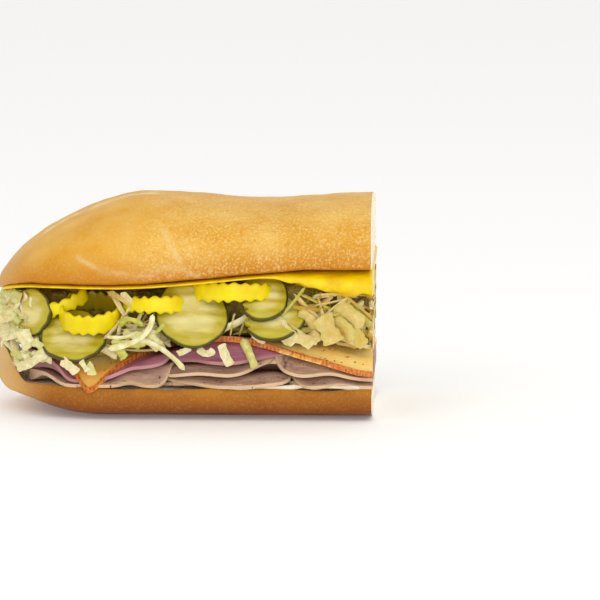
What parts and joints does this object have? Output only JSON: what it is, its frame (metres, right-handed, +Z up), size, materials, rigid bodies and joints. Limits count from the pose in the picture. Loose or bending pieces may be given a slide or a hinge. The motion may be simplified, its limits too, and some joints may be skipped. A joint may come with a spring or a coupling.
{
  "type": "submarine sandwich",
  "caption": "Half of a submarine sandwich cut across: golden roll with roast pork, ham, orange-rinded cheese, shredded lettuce, pickle chips, banana pepper rings and mustard",
  "frame": {"origin": "on the surface the sandwich rests on, at the middle of its bounding box", "axes": "+X along the roll from its rounded end to the cut face, +Y from the front to the back, +Z up"},
  "size_m": [0.152, 0.0855, 0.087],
  "materials": {
    "bread": "golden baked crust, satin",
    "mustard": "wet yellow sauce",
    "banana_pepper": "wet bright yellow",
    "pickle": "wet olive yellow with a dark green skin",
    "cheese": "smooth cheese with an orange rind",
    "roast_pork": "moist cooked meat",
    "ham": "moist pink ham",
    "lettuce": "crisp pale shreds"
  },
  "bodies": {
    "root": {"crown": "bread", "heel": "bread", "mustard": "mustard", "pepper_1": "banana_pepper", "pepper_2": "banana_pepper", "pepper_3": "banana_pepper", "pepper_4": "banana_pepper", "pepper_5": "banana_pepper", "pepper_6": "banana_pepper", "pepper_7": "banana_pepper", "pickle_1": "pickle", "pickle_2": "pickle", "pickle_3": "pickle", "pickle_4": "pickle", "pickle_5": "pickle", "pickle_6": "pickle", "pickle_7": "pickle", "pickle_8": "pickle", "cheese_1": "cheese", "cheese_2": "cheese", "pork_1": "roast_pork", "pork_2": "roast_pork", "pork_3": "roast_pork", "pork_4": "roast_pork", "pork_5": "roast_pork", "pork_6": "roast_pork", "ham_1": "ham", "ham_2": "ham", "ham_3": "ham", "lettuce": "lettuce"}
  },
  "joints": []
}
